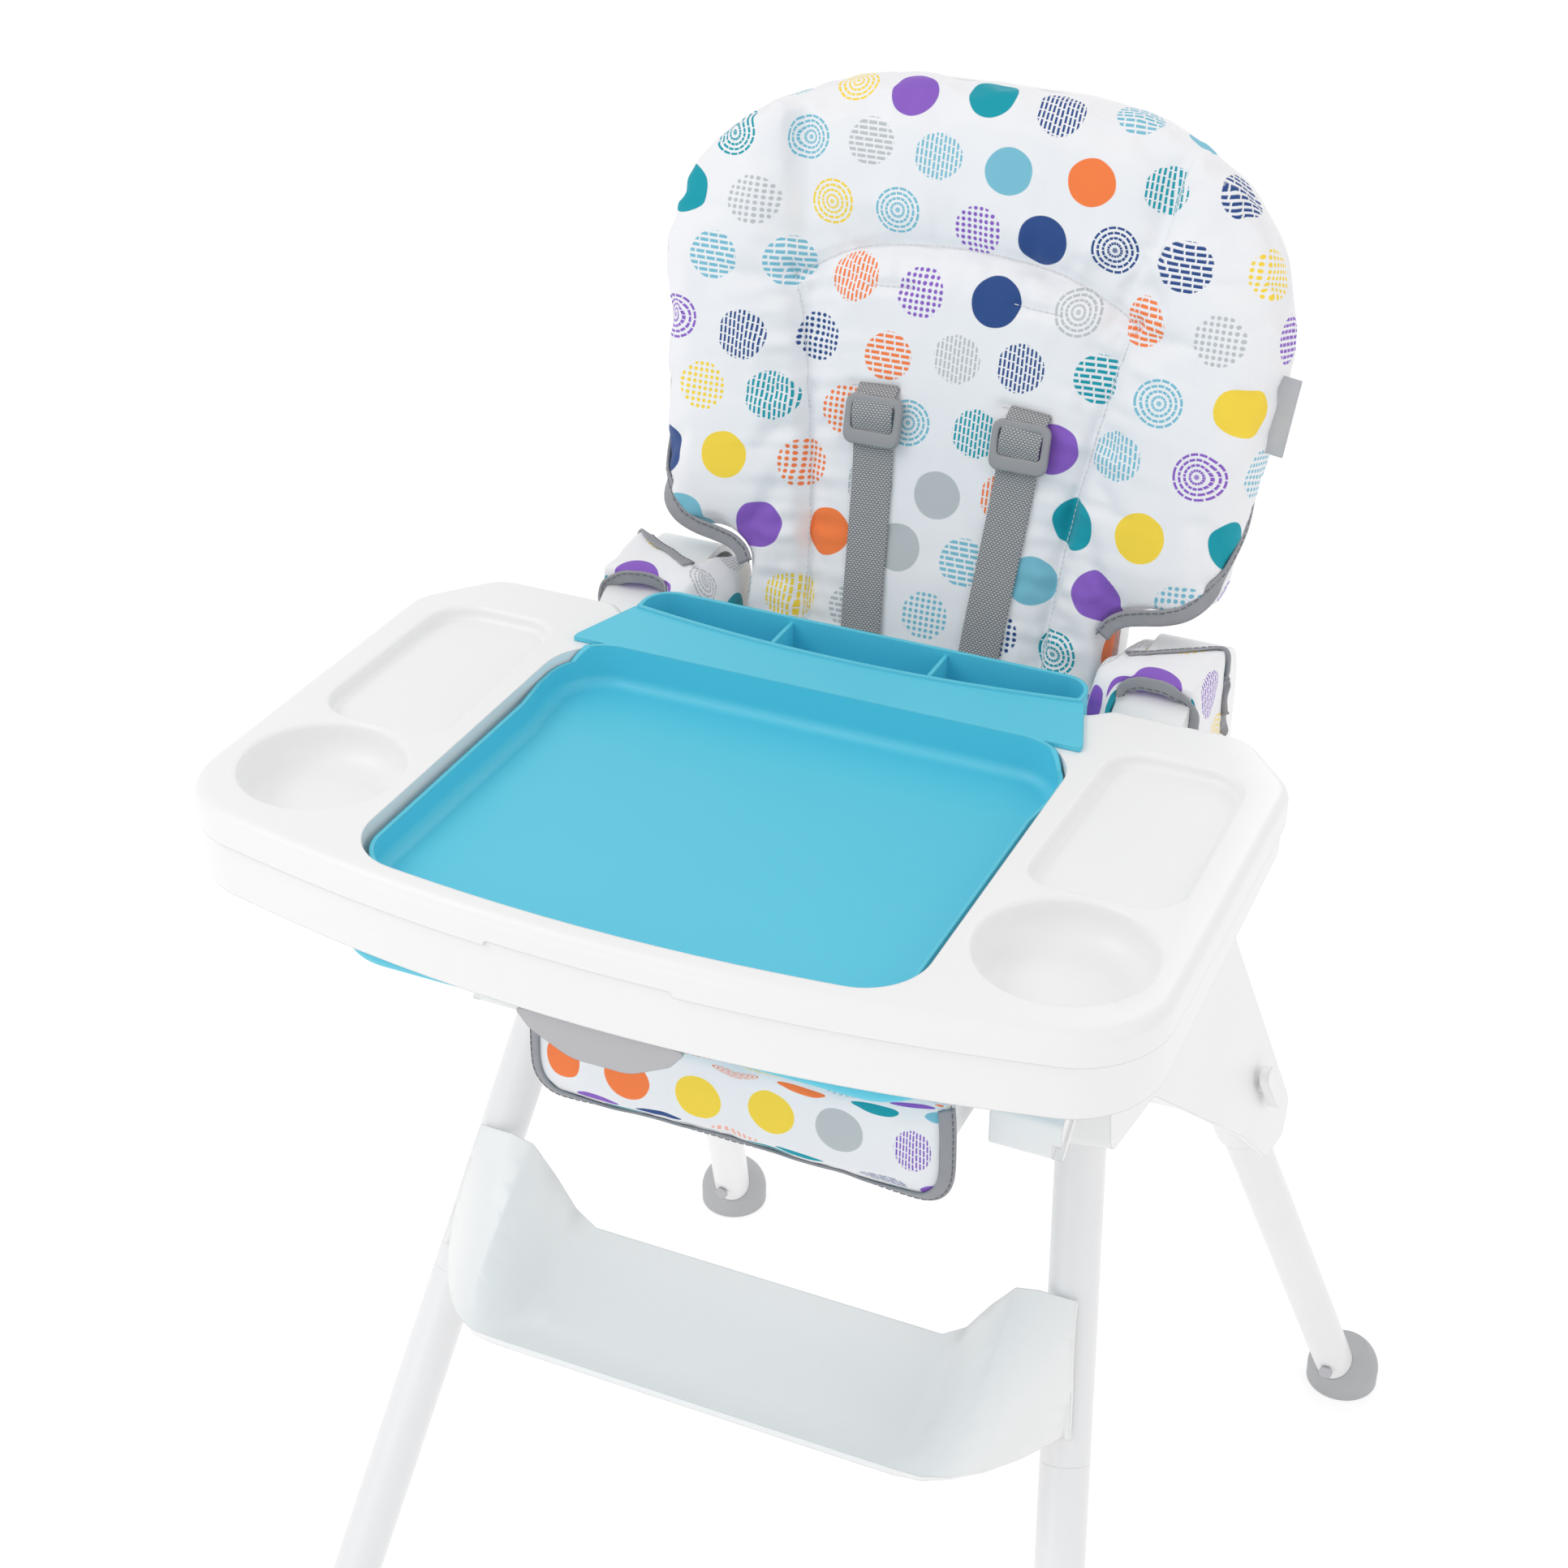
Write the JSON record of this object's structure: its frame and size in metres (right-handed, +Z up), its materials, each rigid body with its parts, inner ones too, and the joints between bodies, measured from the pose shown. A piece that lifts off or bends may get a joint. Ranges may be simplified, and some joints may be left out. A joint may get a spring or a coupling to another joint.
{
  "type": "baby high chair",
  "caption": "Folding baby high chair with splayed tube legs, reclining padded seat, sliding tray with a lift-out liner, and a footrest.",
  "frame": {"origin": "on the floor, under the middle of the chair's outline", "axes": "+Z up, the child faces -Y, +X to the child's left hand side"},
  "size_m": [0.5692, 0.7432, 1.03],
  "materials": {
    "white_paint": "satin white paint",
    "white_plastic": "smooth white moulding",
    "teal_plastic": "smooth teal moulding",
    "grey_plastic": "smooth mid grey",
    "foot_grey": "light grey, dull",
    "bright_steel": "bright zinc",
    "dotted_fabric": "white woven cover with coloured dots and grey piping",
    "grey_webbing": "grey woven webbing",
    "tab_fabric": "light grey folded tape"
  },
  "bodies": {
    "frame": {"front_leg_left": "white_paint", "front_leg_right": "white_paint", "front_leg_extension_left": "white_paint", "front_leg_extension_right": "white_paint", "front_foot_left": "foot_grey", "front_foot_right": "foot_grey", "front_foot_screws": "bright_steel", "hub_outer_left": "white_plastic", "hub_outer_right": "white_plastic", "hub_inner_left": "white_plastic", "hub_inner_right": "white_plastic", "hub_screws": "bright_steel", "pivot_pins": "bright_steel", "front_cross_tube": "white_paint", "footrest": "white_plastic", "footrest_screws": "bright_steel", "seat_pan": "white_plastic", "arm_left": "white_plastic", "arm_right": "white_plastic", "seat_screws": "bright_steel", "back_hinge_pins": "bright_steel", "seat_pad": "dotted_fabric", "seat_flap": "dotted_fabric", "side_pad_left": "dotted_fabric", "side_pad_right": "dotted_fabric", "crotch_strap": "grey_webbing", "waist_straps": "grey_webbing", "buckle": "grey_plastic", "buckle_tongues": "grey_plastic"},
    "rear_legs": {"rear_leg_left": "white_paint", "rear_leg_right": "white_paint", "rear_cross_tube": "white_paint", "leg_bracket_left": "white_plastic", "leg_bracket_right": "white_plastic", "bracket_rivets": "bright_steel", "rear_foot_left": "foot_grey", "rear_foot_right": "foot_grey", "rear_foot_screws": "bright_steel"},
    "fold_button_left": {"fold_button_left": "white_plastic"},
    "fold_button_right": {"fold_button_right": "white_plastic"},
    "seat_back": {"back_shell": "white_plastic", "back_pad": "dotted_fabric", "wing_left": "dotted_fabric", "wing_right": "dotted_fabric", "shoulder_strap_left": "grey_webbing", "shoulder_strap_right": "grey_webbing", "ladder_locks": "grey_plastic", "side_tag": "tab_fabric"},
    "recline_handle": {"recline_handle": "grey_plastic"},
    "tray": {"tray_top": "white_plastic", "tray_skirt": "white_plastic", "tray_bottom_cover": "teal_plastic", "tray_runner_left": "white_plastic", "tray_runner_right": "white_plastic", "tray_screws": "bright_steel"},
    "tray_handle": {"tray_handle": "grey_plastic"},
    "tray_latch_left": {"tray_latch_left": "white_plastic"},
    "tray_latch_right": {"tray_latch_right": "white_plastic"},
    "tray_insert": {"tray_insert": "teal_plastic"},
    "buckle_button": {"buckle_button": "grey_plastic"}
  },
  "joints": [
    {"name": "rear_leg_fold", "type": "hinge", "parent": "frame", "child": "rear_legs", "pos_m": [0, 0.05421, 0.59], "axis": [-1, 0, 0], "range_deg": [0, 45]},
    {"name": "fold_button_right_press", "type": "slide", "parent": "frame", "child": "fold_button_right", "axis": [-0.9856, 0, -0.169], "range_m": [0, 0.004], "stiffness_N_per_m": 800, "springref_m": -0.002},
    {"name": "fold_button_left_press", "type": "slide", "parent": "frame", "child": "fold_button_left", "axis": [0.9856, 0, -0.169], "range_m": [0, 0.004], "stiffness_N_per_m": 800, "springref_m": -0.002},
    {"name": "back_recline", "type": "hinge", "parent": "frame", "child": "seat_back", "pos_m": [0, 0.092, 0.585], "axis": [-1, 0, 0], "range_deg": [0, 25]},
    {"name": "recline_handle_lift", "type": "slide", "parent": "seat_back", "child": "recline_handle", "axis": [0, 0.2538, 0.9673], "range_m": [0, 0.01], "stiffness_N_per_m": 400, "springref_m": -0.005},
    {"name": "tray_slide", "type": "slide", "parent": "frame", "child": "tray", "axis": [0, -0.7408, -0.6717], "range_m": [0, 0.0932]},
    {"name": "tray_handle_pull", "type": "slide", "parent": "tray", "child": "tray_handle", "axis": [0, -1, 0], "range_m": [0, 0.008], "stiffness_N_per_m": 400, "springref_m": -0.005},
    {"name": "tray_latch_right_slide", "type": "slide", "parent": "tray", "child": "tray_latch_right", "axis": [1, 0, 0], "range_m": [0, 0.006]},
    {"name": "tray_latch_left_slide", "type": "slide", "parent": "tray", "child": "tray_latch_left", "axis": [-1, 0, 0], "range_m": [0, 0.006]},
    {"name": "insert_lift", "type": "slide", "parent": "tray", "child": "tray_insert", "axis": [0, 0, 1], "range_m": [0, 0.06]},
    {"name": "buckle_button_press", "type": "slide", "parent": "frame", "child": "buckle_button", "axis": [0, 0, -1], "range_m": [0, 0.003], "stiffness_N_per_m": 1000, "springref_m": -0.001}
  ],
  "couplings": [
    {"joint": "tray_latch_right_slide", "follows": "tray_handle_pull", "ratio": 0.75},
    {"joint": "tray_latch_left_slide", "follows": "tray_handle_pull", "ratio": 0.75}
  ]
}
